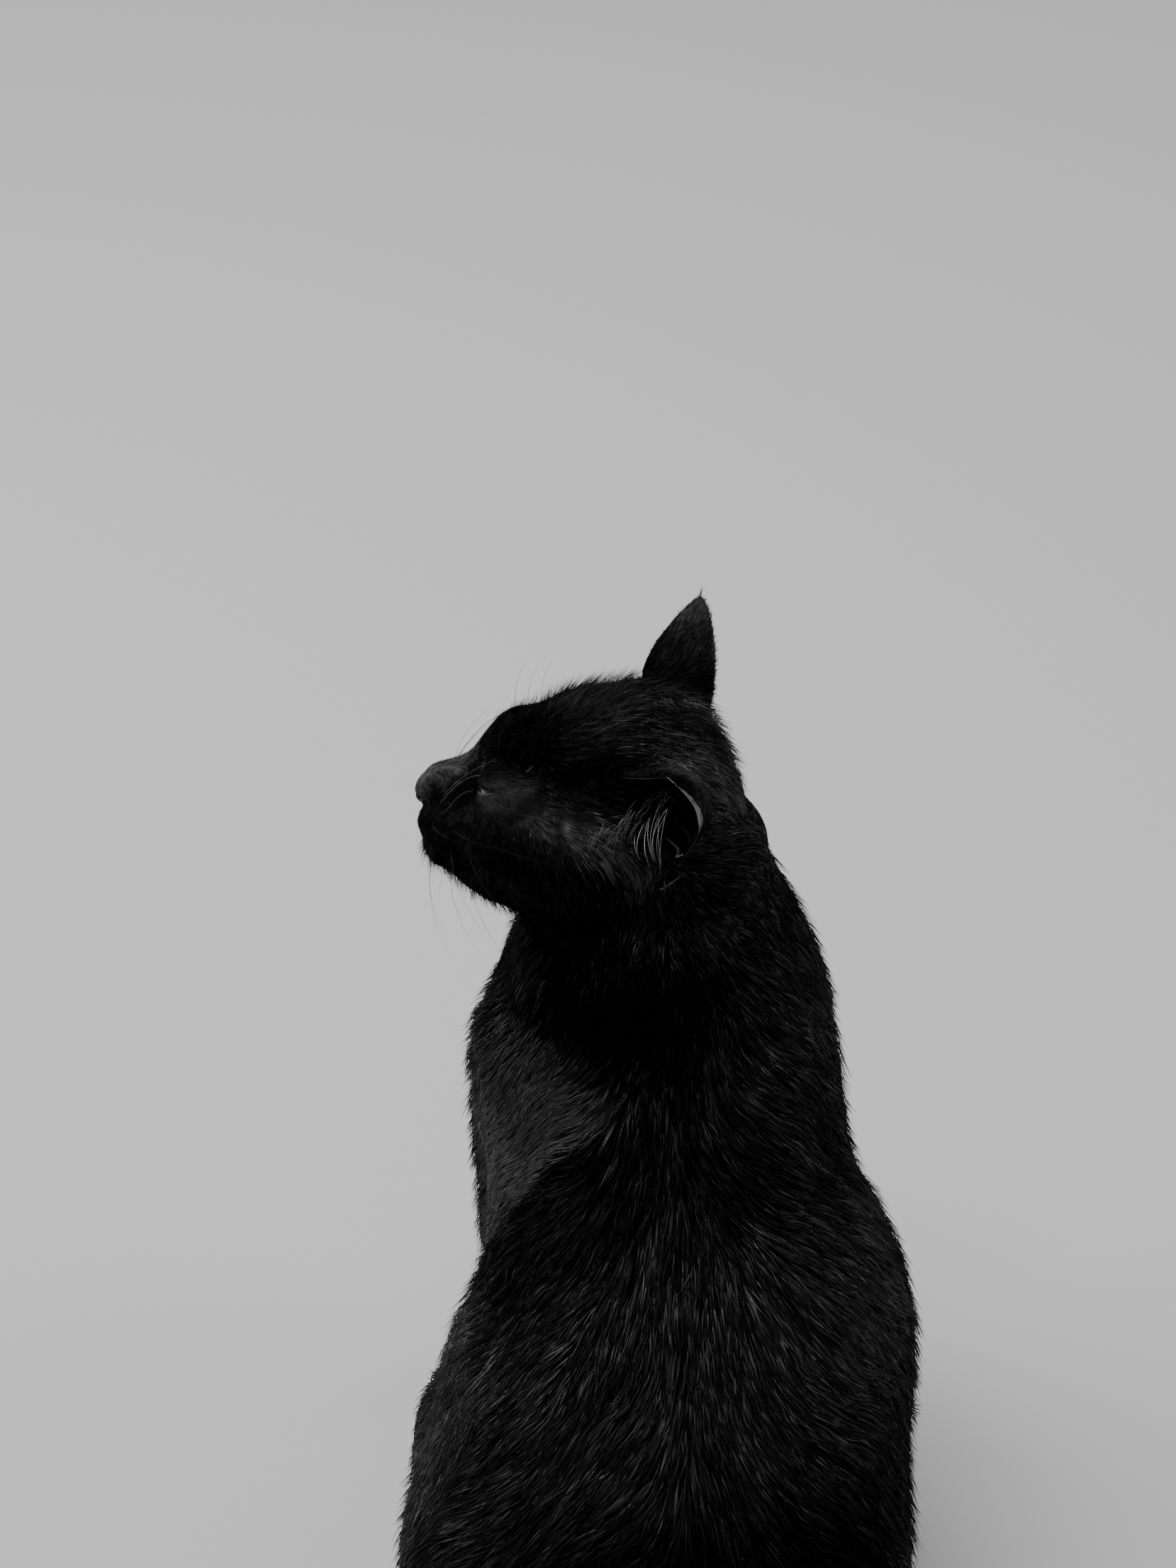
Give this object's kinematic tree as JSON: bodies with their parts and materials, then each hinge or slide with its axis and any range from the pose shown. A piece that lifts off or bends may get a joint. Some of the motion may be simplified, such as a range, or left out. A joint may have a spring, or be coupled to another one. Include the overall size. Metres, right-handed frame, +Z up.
{
  "type": "cat figure",
  "caption": "Life-size figure of a slim black short-haired house cat, sitting upright with its head turned to its left.",
  "frame": {"origin": "on the floor, under the middle of the figure's box", "axes": "+Z up, +Y the way the body faces, -X the cat's left, to which its head is turned"},
  "size_m": [0.2248, 0.3186, 0.3791],
  "materials": {
    "black_fur": "short black fur with a soft grey sheen",
    "ear_fur": "thin short black fur over bare skin",
    "eye": "wet, glossy, opaque",
    "nose_leather": "fine-grained, slightly moist"
  },
  "bodies": {
    "root": {"head": "black_fur", "neck": "black_fur", "chest": "black_fur", "trunk": "black_fur", "tail_base": "black_fur", "tail_middle": "black_fur", "tail_tip": "black_fur", "foreleg_left": "black_fur", "foreleg_right": "black_fur", "forepaw_left": "black_fur", "forepaw_right": "black_fur", "hindleg_left": "black_fur", "hindleg_right": "black_fur", "hindfoot_left": "black_fur", "hindfoot_right": "black_fur", "ear_left": "ear_fur", "ear_right": "ear_fur", "eye_left": "eye", "eye_right": "eye", "nose": "nose_leather"}
  },
  "joints": []
}
